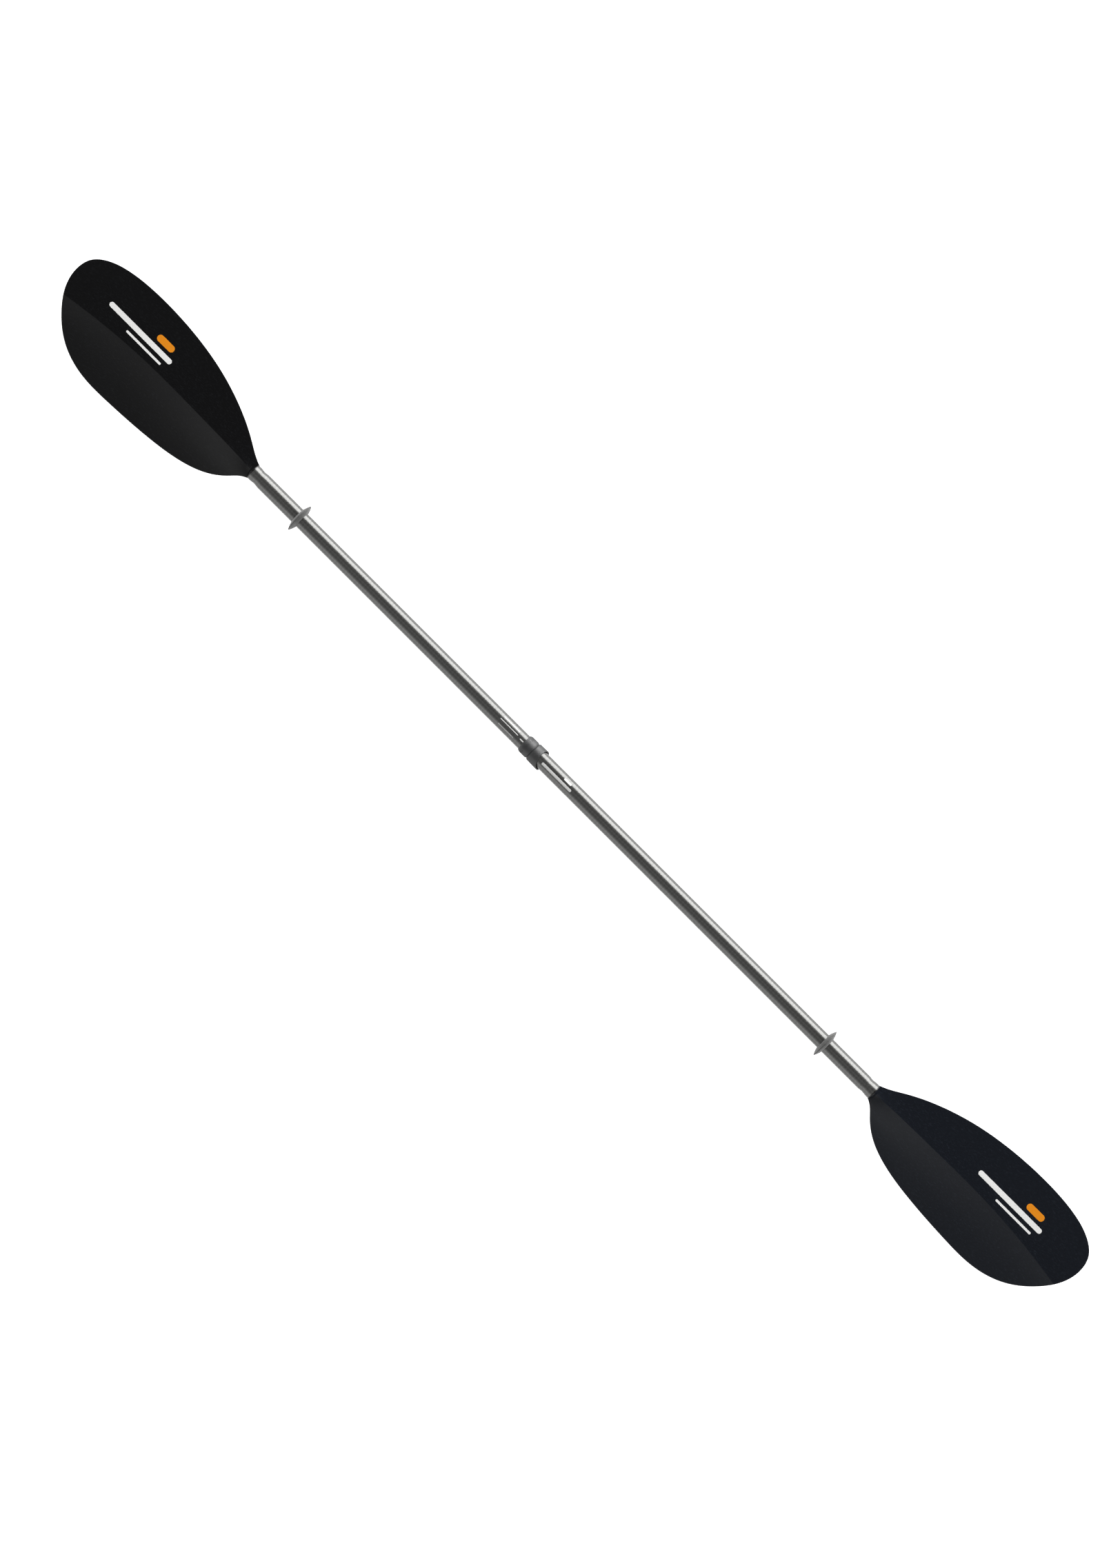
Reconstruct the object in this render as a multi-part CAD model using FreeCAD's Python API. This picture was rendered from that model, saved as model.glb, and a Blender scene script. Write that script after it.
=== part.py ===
import FreeCAD, Part
import math
import os

# Two-piece kayak paddle, millimetres.
# X runs along the shaft, from the left blade to the right one.
# Y points to the blades' longer edge, and Z out of their power faces.
# The origin is on the shaft's axis, at the middle of the paddle.

# ---- driving dimensions ----
paddle_length = 2300.0
blade_length = 437.0        # from a blade's tip to the end of its tube
blade_width = 183.0
shaft_r = 14.0
shaft_wall = 1.6
joint_x = -68.7             # where the two halves meet
left_ring_from_blade = 107.3
right_ring_from_blade = 111.3
feather_step = 15.0         # degrees from one setting to the next

# ---- clearances ----
bond_gap = 0.05             # glue line between bonded round faces
running_gap = 0.05          # radial play of a piece that turns or slides
click_gap = 0.05            # play round the click ring's bumps and beside its key
face_gap = 0.1              # axial play between faces that can part
over = 1.0                  # how far a cutting shape reaches past the piece it cuts

# ---- blade ----
# Outline, as (share of the blade's length from the tip, share of its width from the shaft's axis).
# It runs from the neck up the longer edge, round the tip and back to the throat.
outline_shares = [
    (0.957, 0.125), (0.913, 0.187), (0.792, 0.326), (0.641, 0.438), (0.458, 0.505), (0.297, 0.518),
    (0.160, 0.489), (0.065, 0.416), (0.015, 0.314), (0.0, 0.186), (0.015, 0.001), (0.065, -0.179),
    (0.160, -0.369), (0.281, -0.468), (0.430, -0.479), (0.641, -0.445), (0.792, -0.383),
    (0.881, -0.3), (0.943, -0.188), (0.973, -0.117),
]
# Cross-sections of the blank, as shares of the length from the tip, a little past both ends.
station_shares = [1.03, 1.0, 0.96, 0.915, 0.86, 0.78, 0.66, 0.5, 0.32, 0.14, -0.03]
steady_share = 0.25         # nearer the tip the panels keep this station's slope
panel_hollow = 0.6          # 0 for flat panels; higher makes them steeper by the ridge
panel_poles_across = 6      # poles in one row across a panel
back_shares = (1.0, 0.7, 0.35)
rim_thickness = 2.2
rim_round = 0.9
spoon_rise = 16.0           # how far the tip curves towards the power face
crest_at_tip = 2.6          # height of the ridge over the rim
crest_growth = 2.4
core_at_tip = 3.2           # thickness under the ridge
core_growth = 2.0
core_flare = 5.0            # extra thickness that only the neck gets
core_flare_power = 10
ridge_drift = 4.0           # the ridge's bow towards the longer edge
ridge_bend = 15.0           # the ridge's offset towards the shorter edge at the tip
skirt = 9.0                 # how far the blank reaches past the outline
shoulder_step = 0.2         # how far the blade's neck stands proud of the tube
spine_share = 0.49          # where the spine on the back dies out
spine_cover = 1.3           # how deep the spine's top lies under the ridge
spine_power = 1.5           # how fast its underside rises from the neck
spine_shares = (1.0, 0.8, 0.6, 0.4, 0.2, 0.0)
neck_dome = 6.0             # how far the neck's round end domes out onto the blade

# ---- blade spigot, and the waist that locks it in the tube ----
spigot_length = 62.0
spigot_wall = 2.6
spigot_floor = 6.0
waist_from_end = 14.5
waist_length = 18.0
waist_depth = 1.0

# ---- index hub, click ring and index collar, from the left ----
hub_wall = 0.5              # the hub's sleeve, bonded on the left tube
hub_length = 6.9            # the part of the sleeve inside the collar
flange_length = 3.0
flange_height = 0.8         # over the collar's bore
flange_foot = 0.5
click_room = 0.5            # between the hub and the collar's bore
click_strip = 0.3           # thickness of the click ring's strip
click_opening = 4.0
bump_r = 0.6
bump_height = 0.5           # over the strip
bump_angles = (60, 120, 180, 240, 300)
collar_wall = 1.35
collar_head_length = 9.6    # solid part of the collar, past the tube's end
collar_left_chamfer = 0.6
collar_right_chamfer = (2.2, 1.3)
barrel_wall = 1.35
socket_depth = 63.5

# ---- what holds the index collar in the left tube ----
bush_wall = 0.6
bush_length = 6.0
barrel_neck_wall = 1.35
clip_from_end = 1.5
clip_width = 1.0
clip_groove_depth = 0.65
clip_opening = 4.0
washer_thickness = 1.0

# ---- male ferrule and what it holds ----
male_wall = 1.55
male_flange_length = 2.0
male_flange_recess = 0.2
male_nose = (3.0, 1.0)      # length and depth of the lead-in
male_tip_gap = 1.6
male_bond_length = 60.0
seal_from_joint = 30.0
seal_width = 2.0
seal_groove_depth = 0.8
seal_squeeze = 0.02         # how far the seal stands out of its groove

# ---- visible collar of the right half ----
right_collar_step = 0.5     # over the index collar
right_collar_flare = 0.4
right_collar_chamfer = (2.0, 1.9)
mouth_from_joint = 21.8     # the slanted mouth, on the axis
mouth_slope = 0.43          # tangent of the slant
mouth_turn = 25.0           # degrees from the power face to the short side
mouth_lip = 1.8
mouth_taper_length = 8.0

# ---- snap button ----
button_from_joint = 5.8
button_r = 3.25
button_play = 0.1
button_crown = 1.2
button_below_collar = 0.8
dish_depth = 2.0
dish_ball_r = 7.0
leaf_width = 5.0
leaf_thickness = 0.8
leaf_length = 32.0
leaf_play = 0.3

# ---- drip rings and foam plugs ----
ring_r = 26.5
ring_hub_length = 10.0
ring_hub_step = 1.0
ring_lip = 1.4
ring_belly = 0.45
plug_length = 22.0
plug_gap = 1.0

# ---- worked out from the above ----
half_length = paddle_length / 2
tube_end = half_length - blade_length
tube_bore_r = shaft_r - shaft_wall
neck_r = shaft_r + shoulder_step
left_ring_x = -tube_end + left_ring_from_blade
right_ring_x = tube_end - right_ring_from_blade

index_right = joint_x - face_gap
left_tube_end = index_right - collar_head_length
collar_shoulder = left_tube_end + face_gap
flange_right = left_tube_end - hub_length
index_left = flange_right + face_gap
flange_left = flange_right - flange_length
hub_r = shaft_r + bond_gap + hub_wall
collar_bore_r = hub_r + click_room
collar_r = collar_bore_r + collar_wall
flange_r = collar_bore_r + flange_height
click_inner_r = hub_r + running_gap
click_outer_r = click_inner_r + click_strip
bump_centre_r = click_outer_r + bump_height - bump_r

barrel_r = tube_bore_r - running_gap
socket_r = barrel_r - barrel_wall
socket_bottom = index_right - socket_depth
barrel_neck_r = barrel_r - bush_wall
barrel_end_bore_r = barrel_neck_r - barrel_neck_wall
bush_right = socket_bottom - face_gap
bush_left = bush_right - bush_length
washer_right = bush_left - running_gap
clip_right = washer_right - washer_thickness
clip_left = clip_right - clip_width
barrel_end = clip_left - clip_from_end
clip_groove_r = barrel_neck_r - clip_groove_depth

male_left = joint_x + face_gap
male_r = socket_r - running_gap
male_bore_r = male_r - male_wall
male_end = socket_bottom + male_tip_gap
right_tube_end = male_left + male_flange_length
male_tail = right_tube_end + male_bond_length
male_plug_r = tube_bore_r - bond_gap
seal_x = joint_x - seal_from_joint
seal_floor_r = male_r - seal_groove_depth

right_collar_r = collar_r + right_collar_step
mouth_r = right_collar_r + right_collar_flare
mouth_x = joint_x + mouth_from_joint

button_x = joint_x - button_from_joint
button_hole_r = button_r + button_play
button_top = collar_r - button_below_collar
leaf_reach = math.sqrt(male_bore_r ** 2 - (leaf_width / 2) ** 2) - leaf_play
button_foot = leaf_reach + running_gap

X_AXIS = FreeCAD.Vector(1, 0, 0)
ORIGIN = FreeCAD.Vector(0, 0, 0)


def vec(x, y, z):
    return FreeCAD.Vector(x, y, z)


def revolve(profile):
    """A solid of revolution about X, from a closed list of (x, radius) corners."""
    points = [vec(x, 0, r) for x, r in profile]
    face = Part.Face(Part.makePolygon(points + points[:1]))
    return face.revolve(ORIGIN, X_AXIS, 360)


def cylinder(x0, x1, r):
    return Part.makeCylinder(r, x1 - x0, vec(x0, 0, 0), X_AXIS)


def ring(x0, x1, inner, outer):
    return cylinder(x0, x1, outer).cut(cylinder(x0 - over, x1 + over, inner))


def radial_pin(x, r, inner, outer):
    """A round pin or hole pointing straight out of the shaft's back."""
    return Part.makeCylinder(r, outer - inner, vec(x, 0, -inner), vec(0, 0, -1))


def waisted(x0, x1, end_x, toward, r):
    """A round bar of radius r from x0 to x1 with the waist cut in near end_x."""
    middle = end_x - toward * waist_from_end
    half = waist_length / 2
    curve = Part.BSplineCurve()
    curve.interpolate(
        Points=[vec(middle - half, 0, r), vec(middle, 0, r - waist_depth), vec(middle + half, 0, r)],
        Tangents=[X_AXIS, X_AXIS, X_AXIS],
        TangentFlags=[True, True, True],
    )
    edges = [
        Part.makeLine(vec(x0, 0, 0), vec(x0, 0, r)),
        Part.makeLine(vec(x0, 0, r), vec(middle - half, 0, r)),
        curve.toShape(),
        Part.makeLine(vec(middle + half, 0, r), vec(x1, 0, r)),
        Part.makeLine(vec(x1, 0, r), vec(x1, 0, 0)),
        Part.makeLine(vec(x1, 0, 0), vec(x0, 0, 0)),
    ]
    return Part.Face(Part.Wire(edges)).revolve(ORIGIN, X_AXIS, 360)


# ---- blade surfaces, as functions of the distance from the tip ----
def outline_curve():
    points = [vec(-a * blade_length, b * blade_width, 0) for a, b in outline_shares]
    neck = [vec(-blade_length, neck_r, 0)]
    throat = [vec(-blade_length, -neck_r - shoulder_step, 0)]
    curve = Part.BSplineCurve()
    curve.interpolate(neck + points + throat)
    return curve


outline_samples = outline_curve().discretize(600)


def half_width(d, side):
    """Distance from the axis to the outline on one side, beside the given station."""
    x = -min(max(d, steady_share * blade_length), blade_length)
    for p, q in zip(outline_samples, outline_samples[1:]):
        if p.y * side > 0 and q.y * side > 0 and (p.x - x) * (q.x - x) <= 0:
            return abs(p.y + (q.y - p.y) * (x - p.x) / (q.x - p.x))


def ridge_y(d):
    middle = blade_length / 2
    if d > middle:
        return ridge_drift * max(blade_length - d, 0) / middle
    return ridge_drift - (ridge_drift + ridge_bend) * (1 - d / middle) ** 2


def rim_z(d):
    return spoon_rise * (max(blade_length - d, 0) / blade_length) ** 2


def crest_height(d):
    return crest_at_tip + crest_growth * max(d, 0) / blade_length


def ridge_z(d):
    return rim_z(d) + rim_thickness / 2 + crest_height(d)


def core_thickness(d):
    part = max(d, 0) / blade_length
    return core_at_tip + core_growth * part + core_flare * part ** core_flare_power


def panel_width(d, side):
    return half_width(d, side) - side * ridge_y(d)


def front_poles(d, side):
    """One row of poles of a hollow front panel, which rises on past the ridge over the other side."""
    width = panel_width(d, side)
    start = width + skirt
    step = (start + panel_width(d, -side) + skirt) / (panel_poles_across - 1)
    poles = []
    for i in range(panel_poles_across):
        y = start - i * step
        u = y / width
        z = ridge_z(d) - crest_height(d) * u * (1 + panel_hollow * (1 - u))
        poles.append(vec(-d, ridge_y(d) + side * y, z))
    return poles


def back_poles(d):
    """One row of poles of the back, which swells smoothly under the ridge."""
    halves = {}
    for side in (1, -1):
        width = panel_width(d, side)
        halves[side] = []
        for u in (1 + skirt / width,) + back_shares:
            bulge = (1 + math.cos(math.pi * min(u, 1))) / 2
            fall = crest_height(d) * u * (1 + panel_hollow * (1 - u))
            z = ridge_z(d) - fall - rim_thickness - (core_thickness(d) - rim_thickness) * bulge
            halves[side].append(vec(-d, ridge_y(d) + side * width * u, z))
    middle = vec(-d, ridge_y(d), ridge_z(d) - core_thickness(d))
    return halves[-1] + [middle] + halves[1][::-1]


def smooth_face(rows):
    """A smooth face from rows of poles."""
    degree = 3
    knots = []
    mults = []
    for count in (len(rows), len(rows[0])):
        spans = count - degree
        knots.append(list(range(spans + 1)))
        mults.append([degree + 1] + [1] * (spans - 1) + [degree + 1])
    surface = Part.BSplineSurface()
    surface.buildFromPolesMultsKnots(
        rows, mults[0], mults[1], knots[0], knots[1], False, False, degree, degree)
    return surface.toShape()


def blade_plate():
    """The outline's prism between the two front panels and the back, with its rim rounded."""
    curve = outline_curve()
    start = curve.value(curve.FirstParameter)
    end = curve.value(curve.LastParameter)
    wire = Part.Wire([curve.toShape(), Part.makeLine(end, start)])
    depth = blade_width
    prism = Part.Face(wire).extrude(vec(0, 0, depth))
    prism.translate(vec(0, 0, -depth / 2))
    stations = [a * blade_length for a in station_shares]
    plate = prism.common(smooth_face([back_poles(d) for d in stations]).extrude(vec(0, 0, depth)))
    for side in (1, -1):
        front = smooth_face([front_poles(d, side) for d in stations])
        plate = plate.common(front.extrude(vec(0, 0, -depth)))
    plate = plate.Solids[0]
    rim_edges = [e for e in plate.Edges if e.BoundBox.YLength > blade_width / 3]
    return plate.makeFillet(rim_round, rim_edges)


def blade_spine():
    """The rib on the blade's back, as deep as the neck where it starts, and thinning to nothing."""
    end = blade_length * spine_share
    foot_z = ridge_z(end) - core_thickness(end) + spine_cover / 2
    sections = []
    for part in spine_shares:
        d = end + (blade_length - end) * part
        top = ridge_z(d) - spine_cover
        bottom = foot_z - (foot_z + neck_r) * part ** spine_power
        centre = vec(-d, ridge_y(d), (top + bottom) / 2)
        sections.append(Part.Wire(Part.makeCircle((top - bottom) / 2, centre, X_AXIS)))
    return Part.makeLoft(sections, True, False)


def blade_neck():
    """The neck's round end, a low dome that closes the tube."""
    foot = vec(-blade_length, 0, 0)
    edge = vec(-blade_length, 0, neck_r)
    flank = vec(-blade_length + neck_dome * math.cos(math.pi / 6), 0, neck_r / 2)
    crown = vec(-blade_length + neck_dome, 0, 0)
    edges = [Part.makeLine(foot, edge), Part.Arc(edge, flank, crown).toShape(), Part.makeLine(crown, foot)]
    return Part.Face(Part.Wire(edges)).revolve(ORIGIN, X_AXIS, 360)


def blade():
    """The right blade, made with its tip at the origin and then moved to the tube's end."""
    spigot_end = -blade_length - spigot_length
    spigot = waisted(spigot_end, -blade_length + shaft_wall, -blade_length, 1, male_plug_r)
    hollow_r = tube_bore_r - spigot_wall - waist_depth
    spigot = spigot.cut(cylinder(spigot_end - over, -blade_length - spigot_floor, hollow_r))
    body = blade_plate().fuse(blade_spine()).fuse(blade_neck()).fuse(spigot).removeSplitter()
    body.translate(vec(half_length, 0, 0))
    return body


# ---- tubes ----
def tube(x0, x1, blade_end, toward):
    outer = waisted(x0, x1, blade_end, toward, shaft_r)
    inner = waisted(x0 - over, x1 + over, blade_end, toward, tube_bore_r)
    return outer.cut(inner)


# ---- ferrule ----
def long_pin(x0, x1, centre_r, degrees, r):
    """A round bar along the shaft, centre_r from its axis."""
    a = math.radians(degrees)
    start = vec(x0, centre_r * math.cos(a), centre_r * math.sin(a))
    return Part.makeCylinder(r, x1 - x0, start, X_AXIS)


def index_hub():
    """Bonded on the left tube's end: a tapered flange, and a sleeve with a key for the click ring."""
    body = revolve([
        (flange_left, 0), (flange_left, shaft_r + flange_foot),
        (flange_right - collar_left_chamfer, flange_r), (flange_right, flange_r),
        (flange_right, hub_r), (left_tube_end, hub_r), (left_tube_end, 0),
    ])
    key_width = click_opening - 2 * click_gap
    key_height = collar_bore_r - click_gap
    key = Part.makeBox(hub_length, key_height, key_width, vec(flange_right, 0, -key_width / 2))
    key = key.common(cylinder(flange_right, left_tube_end, key_height))
    bore = cylinder(flange_left - over, left_tube_end + over, shaft_r + bond_gap)
    return body.fuse(key).cut(bore).removeSplitter()


def click_ring():
    """A spring strip round the hub, open at the key, with bumps that click into the collar."""
    left = flange_right + face_gap
    body = cylinder(left, left_tube_end, click_outer_r)
    for angle in bump_angles:
        body = body.fuse(long_pin(left, left_tube_end, bump_centre_r, angle, bump_r))
    body = body.cut(cylinder(left - over, left_tube_end + over, click_inner_r))
    opening = Part.makeBox(
        hub_length + 2 * over, collar_r, click_opening, vec(left - over, 0, -click_opening / 2))
    return body.cut(opening).removeSplitter()


def index_collar():
    """The collar that is turned to set the feather, with the barrel that takes the right half."""
    chamfer_length, chamfer_depth = collar_right_chamfer
    body = revolve([
        (index_left, 0), (index_left, collar_r - collar_left_chamfer),
        (index_left + collar_left_chamfer, collar_r), (index_right - chamfer_length, collar_r),
        (index_right, collar_r - chamfer_depth), (index_right, 0),
    ])
    body = body.cut(cylinder(index_left - over, collar_shoulder, collar_bore_r))
    grooves = [
        long_pin(index_left - over, collar_shoulder, bump_centre_r, i * feather_step, bump_r + click_gap)
        for i in range(round(360 / feather_step))
    ]
    body = body.cut(Part.makeCompound(grooves))
    barrel = revolve([
        (barrel_end, 0), (barrel_end, barrel_neck_r), (socket_bottom, barrel_neck_r),
        (socket_bottom, barrel_r), (collar_shoulder, barrel_r), (collar_shoulder, 0),
    ])
    body = body.fuse(barrel)
    body = body.cut(cylinder(socket_bottom, index_right + over, socket_r))
    body = body.cut(cylinder(barrel_end - over, socket_bottom + over, barrel_end_bore_r))
    body = body.cut(ring(clip_left, clip_right, clip_groove_r, barrel_r + over))
    body = body.cut(radial_pin(button_x, button_hole_r, male_bore_r, collar_r + over))
    dish_z = -(collar_r - dish_depth + dish_ball_r)
    return body.cut(Part.makeSphere(dish_ball_r, vec(button_x, 0, dish_z))).removeSplitter()


def collar_bush():
    """Bonded in the left tube: the barrel's neck turns in it."""
    return ring(bush_left, bush_right, barrel_neck_r + running_gap, tube_bore_r - bond_gap)


def thrust_washer():
    return ring(clip_right, washer_right, barrel_neck_r + running_gap, barrel_r - bond_gap)


def collar_clip():
    """An open ring snapped into the barrel's groove, which keeps the index collar in the tube."""
    body = ring(clip_left, clip_right, clip_groove_r + bond_gap, barrel_r - bond_gap)
    opening = Part.makeBox(
        clip_width + 2 * over, clip_opening, 2 * barrel_r, vec(clip_left - over, -clip_opening / 2, 0))
    return body.cut(opening)


def male_ferrule():
    """The right half's spigot: bonded in its tube, and a running fit in the index collar's barrel."""
    nose_length, nose_depth = male_nose
    flange = shaft_r - male_flange_recess
    body = revolve([
        (male_end, 0), (male_end, male_r - nose_depth), (male_end + nose_length, male_r),
        (male_left, male_r), (male_left, flange), (right_tube_end, flange),
        (right_tube_end, male_plug_r), (male_tail, male_plug_r), (male_tail, 0),
    ])
    body = body.cut(cylinder(male_end - over, male_tail + over, male_bore_r))
    body = body.cut(ring(seal_x, seal_x + seal_width, seal_floor_r, male_r + over))
    return body.cut(radial_pin(button_x, button_hole_r, male_bore_r / 2, male_r + over))


def spigot_seal():
    return ring(
        seal_x + running_gap, seal_x + seal_width - running_gap, seal_floor_r + bond_gap,
        male_r + seal_squeeze)


def ferrule_collar():
    """Bonded over the right tube's end, with a slanted bell mouth."""
    chamfer_length, chamfer_depth = right_collar_chamfer
    long_end = mouth_x + mouth_slope * mouth_r + 2 * over
    body = revolve([
        (male_left, 0), (male_left, right_collar_r - chamfer_depth),
        (male_left + chamfer_length, right_collar_r), (mouth_x, mouth_r), (long_end, mouth_r),
        (long_end, 0),
    ])
    bore = cylinder(male_left - over, long_end + over, shaft_r + bond_gap)
    flare = revolve([
        (mouth_x - 2 * mouth_taper_length, 0), (mouth_x - 2 * mouth_taper_length, shaft_r),
        (mouth_x - mouth_taper_length, mouth_r - mouth_lip), (long_end + over, mouth_r - mouth_lip),
        (long_end + over, 0),
    ])
    turn = math.radians(mouth_turn)
    normal = X_AXIS + vec(0, math.sin(turn), math.cos(turn)) * mouth_slope
    size = 8 * mouth_r
    waste = Part.makeBox(size, size, size, vec(-size / 2, -size / 2, 0))
    waste.Placement = FreeCAD.Placement(vec(mouth_x, 0, 0), FreeCAD.Rotation(vec(0, 0, 1), normal))
    return body.cut(bore).cut(flare).cut(waste)


def snap_button():
    body = radial_pin(button_x, button_r, button_foot, button_top)
    crown = [e for e in body.Edges if abs(e.BoundBox.ZMax + button_top) < 0.01]
    return body.makeFillet(button_crown, crown)


def button_spring():
    """A leaf bent into a U, whose legs press on both sides of the spigot's bore."""
    bend_x = button_x + button_r - leaf_length
    half = leaf_width / 2
    outer = Part.makeCylinder(leaf_reach, leaf_width, vec(bend_x, -half, 0), vec(0, 1, 0))
    outer = outer.fuse(Part.makeBox(
        leaf_length, leaf_width, 2 * leaf_reach, vec(bend_x, -half, -leaf_reach)))
    inner_r = leaf_reach - leaf_thickness
    inner = Part.makeCylinder(inner_r, leaf_width + 2 * over, vec(bend_x, -half - over, 0), vec(0, 1, 0))
    inner = inner.fuse(Part.makeBox(
        leaf_length + 2 * over, leaf_width + 2 * over, 2 * inner_r, vec(bend_x, -half - over, -inner_r)))
    return outer.cut(inner).removeSplitter()


# ---- drip rings and plugs ----
def drip_ring(x):
    """A rubber ring with a lens-shaped section: a wide hub that thins to a round lip."""
    foot = shaft_r + running_gap
    shoulder = foot + ring_hub_step
    hub = ring_hub_length / 2
    lip = ring_lip / 2
    lip_r = ring_r - lip
    belly = ((hub + lip) / 2 + ring_belly, (shoulder + lip_r) / 2)
    edges = [
        Part.makeLine(vec(x - hub, 0, foot), vec(x + hub, 0, foot)),
        Part.makeLine(vec(x + hub, 0, foot), vec(x + hub, 0, shoulder)),
        Part.Arc(
            vec(x + hub, 0, shoulder), vec(x + belly[0], 0, belly[1]), vec(x + lip, 0, lip_r)).toShape(),
        Part.Arc(vec(x + lip, 0, lip_r), vec(x, 0, ring_r), vec(x - lip, 0, lip_r)).toShape(),
        Part.Arc(
            vec(x - lip, 0, lip_r), vec(x - belly[0], 0, belly[1]), vec(x - hub, 0, shoulder)).toShape(),
        Part.makeLine(vec(x - hub, 0, shoulder), vec(x - hub, 0, foot)),
    ]
    return Part.Face(Part.Wire(edges)).revolve(ORIGIN, X_AXIS, 360)


def foam_plug(right, bore_r):
    return cylinder(right - plug_length, right, bore_r - bond_gap)


right_blade = blade()
nodes = {
    "right_blade": right_blade,
    "left_blade": right_blade.mirror(ORIGIN, X_AXIS),
    "left_shaft": tube(-tube_end, left_tube_end, -tube_end, -1),
    "right_shaft": tube(right_tube_end, tube_end, tube_end, 1),
    "index_hub": index_hub(),
    "click_ring": click_ring(),
    "collar_bush": collar_bush(),
    "left_foam_plug": foam_plug(barrel_end - plug_gap, tube_bore_r),
    "thrust_washer": thrust_washer(),
    "index_collar": index_collar(),
    "collar_clip": collar_clip(),
    "male_ferrule": male_ferrule(),
    "spigot_seal": spigot_seal(),
    "ferrule_collar": ferrule_collar(),
    "button_spring": button_spring(),
    "right_foam_plug": foam_plug(male_tail - plug_gap, male_bore_r),
    "snap_button": snap_button(),
    "left_drip_ring": drip_ring(left_ring_x),
    "right_drip_ring": drip_ring(right_ring_x),
}

os.makedirs("parts", exist_ok=True)
for name, shape in nodes.items():
    solid = shape.Solids[0]
    solid.exportStep("parts/" + name + ".step")
    print(name, "solids", len(shape.Solids), "valid", solid.isValid(),
          "volume", round(solid.Volume), "faces", len(solid.Faces))
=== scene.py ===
import math

import bmesh
import bpy
from mathutils import Matrix, Vector


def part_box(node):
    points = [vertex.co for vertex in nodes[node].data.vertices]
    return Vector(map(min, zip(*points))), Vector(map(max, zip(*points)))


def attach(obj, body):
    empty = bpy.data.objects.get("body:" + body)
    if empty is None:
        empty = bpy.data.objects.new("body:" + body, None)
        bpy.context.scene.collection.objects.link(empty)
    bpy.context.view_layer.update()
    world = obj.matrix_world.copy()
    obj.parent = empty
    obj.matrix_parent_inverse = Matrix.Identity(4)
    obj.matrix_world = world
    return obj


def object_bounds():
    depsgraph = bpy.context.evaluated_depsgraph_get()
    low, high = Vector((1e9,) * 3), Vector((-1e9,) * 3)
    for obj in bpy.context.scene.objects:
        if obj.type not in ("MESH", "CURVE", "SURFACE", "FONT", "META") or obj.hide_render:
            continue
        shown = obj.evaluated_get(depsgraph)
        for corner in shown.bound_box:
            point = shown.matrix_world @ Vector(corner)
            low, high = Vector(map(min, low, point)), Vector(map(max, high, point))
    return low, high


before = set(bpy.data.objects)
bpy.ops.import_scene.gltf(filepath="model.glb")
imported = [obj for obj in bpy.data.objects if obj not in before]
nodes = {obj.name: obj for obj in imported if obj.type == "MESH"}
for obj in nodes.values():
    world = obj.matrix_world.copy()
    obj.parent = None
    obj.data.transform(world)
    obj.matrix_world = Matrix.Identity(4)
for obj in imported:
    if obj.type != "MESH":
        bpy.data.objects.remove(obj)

cad_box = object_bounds()


# ---- blades ----
# Two one-piece mouldings of nylon filled with chopped carbon fibre, bonded into the tubes.
# The mould leaves a fine satin grain, with faint flecks where fibres lie near the skin.

def linear(code):
    """An sRGB colour code as linear red, green, blue and alpha."""
    shares = [int(code[i:i + 2], 16) / 255 for i in (1, 3, 5)]
    return [s / 12.92 if s <= 0.04045 else ((s + 0.055) / 1.055) ** 2.4 for s in shares] + [1.0]


def add_node(tree, kind, settings, inputs):
    """Adds a node, with its settings, and its inputs as numbers or as links from other nodes."""
    made = tree.nodes.new(kind)
    for name, value in settings.items():
        setattr(made, name, value)
    for name, value in inputs.items():
        if isinstance(value, bpy.types.NodeSocket):
            tree.links.new(value, made.inputs[name])
        else:
            made.inputs[name].default_value = value
    return made


def new_finish(name):
    """A material with no nodes yet, and its node tree."""
    material = bpy.data.materials.new(name)
    material.use_nodes = True
    material.node_tree.nodes.clear()
    return material, material.node_tree


def put_on(names, material):
    """Puts a material on the named CAD nodes."""
    for name in names:
        for slot in nodes[name].material_slots:
            slot.material = material


# a Mix node repeats its socket names for each kind of data, so its colours are reached by number
mix_share, colour_a, colour_b, mixed_colour = 0, 6, 7, 2
# nearly all of a noise texture's values lie between these two
noise_low, noise_high = 0.3, 0.7
mm_per_m = 1000

nylon_ior = 1.53
# the real grain is finer still, too fine to show, and so are those of the ferrule and drip rings
blade_grain_mm = 0.45
blade_grain_depth = 0.00002
blade_fleck_mm = 1.6
# the noise values between which a fleck fades in
fleck_starts, fleck_full = 0.52, 0.72
# the melt runs along the blade, and draws the fibres that way
melt_stretch = 0.3
blade_cloud_mm = 45.0
blade_roughness = (0.15, 0.19)


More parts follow.
